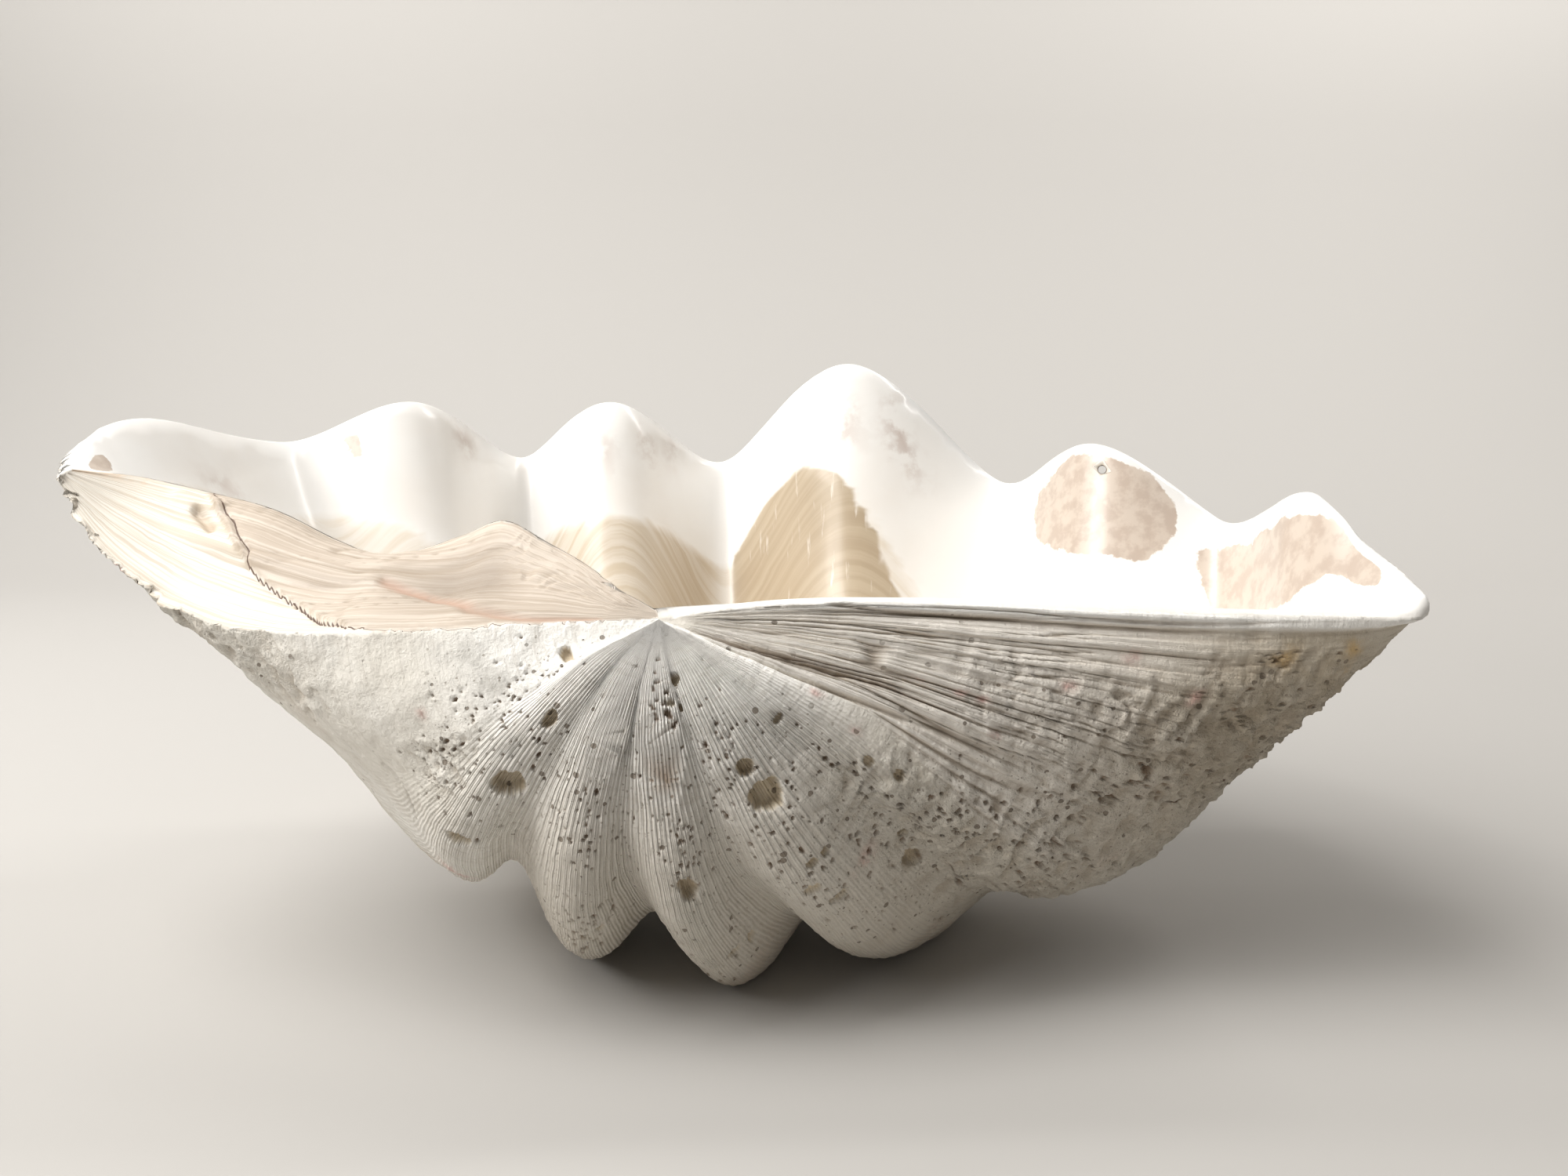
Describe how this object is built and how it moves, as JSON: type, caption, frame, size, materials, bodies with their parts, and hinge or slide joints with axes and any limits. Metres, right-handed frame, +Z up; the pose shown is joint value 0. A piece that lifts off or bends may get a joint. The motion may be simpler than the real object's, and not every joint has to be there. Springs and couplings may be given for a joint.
{
  "type": "giant clam shell",
  "caption": "One valve of a giant clam, lying hollow side up: heavy ribbed outside, porcelain inside and a deeply waved rim.",
  "frame": {"origin": "middle of the shell's box, on the surface that it rests on", "axes": "+X along the hinge edge to the pointed right end, +Y from the beak to the waved rim, +Z up out of the hollow"},
  "size_m": [0.698, 0.444, 0.3434],
  "materials": {
    "shell": "chalky and pitted outside, glossy porcelain inside"
  },
  "bodies": {
    "root": {"clam_shell": "shell"}
  },
  "joints": []
}
